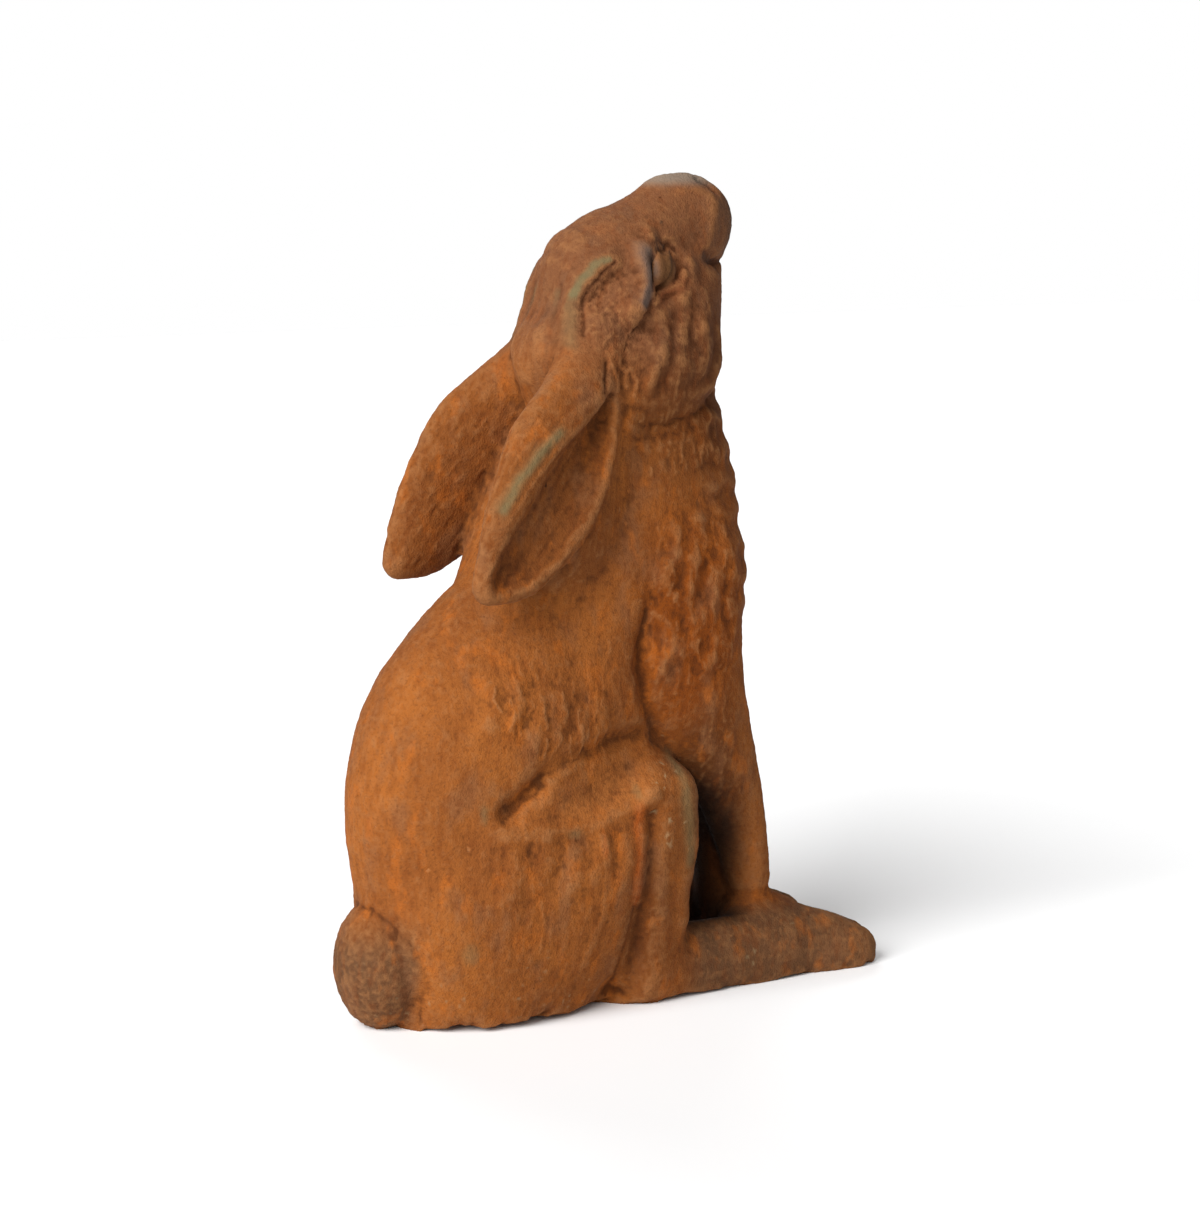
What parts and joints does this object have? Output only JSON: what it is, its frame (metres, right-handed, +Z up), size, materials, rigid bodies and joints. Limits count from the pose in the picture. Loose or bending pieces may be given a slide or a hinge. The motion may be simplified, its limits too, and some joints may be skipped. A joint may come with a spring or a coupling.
{
  "type": "hare statue",
  "caption": "Rusted cast iron statue of a sitting hare that gazes up at the sky with its ears laid back.",
  "frame": {"origin": "centre of the footprint on the ground, under the middle of the length from the tail to the toes", "axes": "+Z up from the ground to the nose, -Y the way the hare faces, and +X towards its left side"},
  "size_m": [0.1428, 0.3594, 0.5008],
  "materials": {
    "rusted_iron": "matt brown rust over a sand-cast surface, worn to grey on the raised edges"
  },
  "bodies": {
    "root": {"hare": "rusted_iron"}
  },
  "joints": []
}
